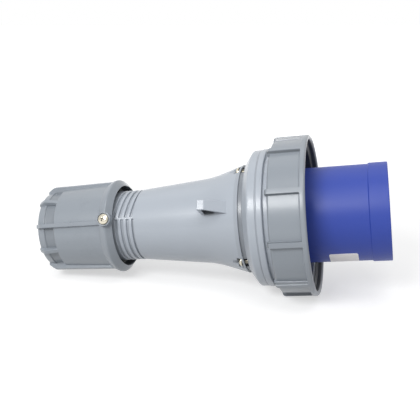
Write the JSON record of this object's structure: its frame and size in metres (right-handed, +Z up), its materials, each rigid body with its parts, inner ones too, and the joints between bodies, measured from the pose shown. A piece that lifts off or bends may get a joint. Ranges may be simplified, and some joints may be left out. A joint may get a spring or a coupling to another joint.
{
  "type": "industrial pin and sleeve plug",
  "caption": "Watertight industrial pin and sleeve plug with blue sleeve, turning bayonet ring, long tapered handle and screw-on cable gland.",
  "frame": {"origin": "centre of the footprint on the floor, under the plug as it lies at rest", "axes": "+X towards the sleeve's mouth along the plug as seen from above, +Z up; the plug's own axis is tilted up by 7.13 degrees towards +X"},
  "size_m": [0.2708, 0.1184, 0.1181],
  "materials": {
    "handle_grey": "fine satin moulded polyamide, light bluish grey",
    "ring_grey": "fine satin moulded polyamide, mid grey",
    "sleeve_blue": "satin moulded plastic, ultramarine blue",
    "carrier_black": "fine matt thermoset, near black",
    "contact_brass": "turned brass",
    "screw_steel": "bright zinc-plated steel with a yellow tinge",
    "seal_rubber": "soft black rubber",
    "slip_nylon": "natural nylon",
    "label_white": "plain white film label"
  },
  "bodies": {
    "plug_body": {"handle_body": "handle_grey", "front_housing": "handle_grey", "plug_sleeve": "sleeve_blue", "contact_carrier": "carrier_black", "carrier_plate": "carrier_black", "line_pin": "contact_brass", "neutral_pin": "contact_brass", "earth_pin": "contact_brass", "pilot_pin": "contact_brass", "terminal_screws": "screw_steel", "carrier_screws": "screw_steel", "sleeve_screws": "screw_steel", "housing_screws": "screw_steel", "face_seal": "seal_rubber", "gland_seal": "seal_rubber", "housing_gasket": "seal_rubber", "sleeve_gasket": "seal_rubber", "blank_label": "label_white"},
    "locking_ring": {"locking_ring": "ring_grey"},
    "gland_slide": {"gland_slip_ring": "slip_nylon"},
    "gland_nut": {"gland_nut": "ring_grey", "gland_lock_screw": "screw_steel"}
  },
  "joints": [
    {"name": "ring_turn", "type": "hinge", "parent": "plug_body", "child": "locking_ring", "pos_m": [0.06634, 0, 0.0581], "axis": [0.9923, 0, 0.1242], "continuous": true},
    {"name": "gland_travel", "type": "slide", "parent": "plug_body", "child": "gland_slide", "axis": [-0.9923, 0, -0.1242], "range_m": [0, 0.0114]},
    {"name": "gland_turn", "type": "hinge", "parent": "gland_slide", "child": "gland_nut", "pos_m": [-0.09808, 0, 0.03753], "axis": [-0.9923, 0, -0.1242], "range_deg": [0, 900]}
  ],
  "couplings": [
    {"joint": "gland_travel", "follows": "gland_turn", "m_per_rad": 0.0007162}
  ]
}
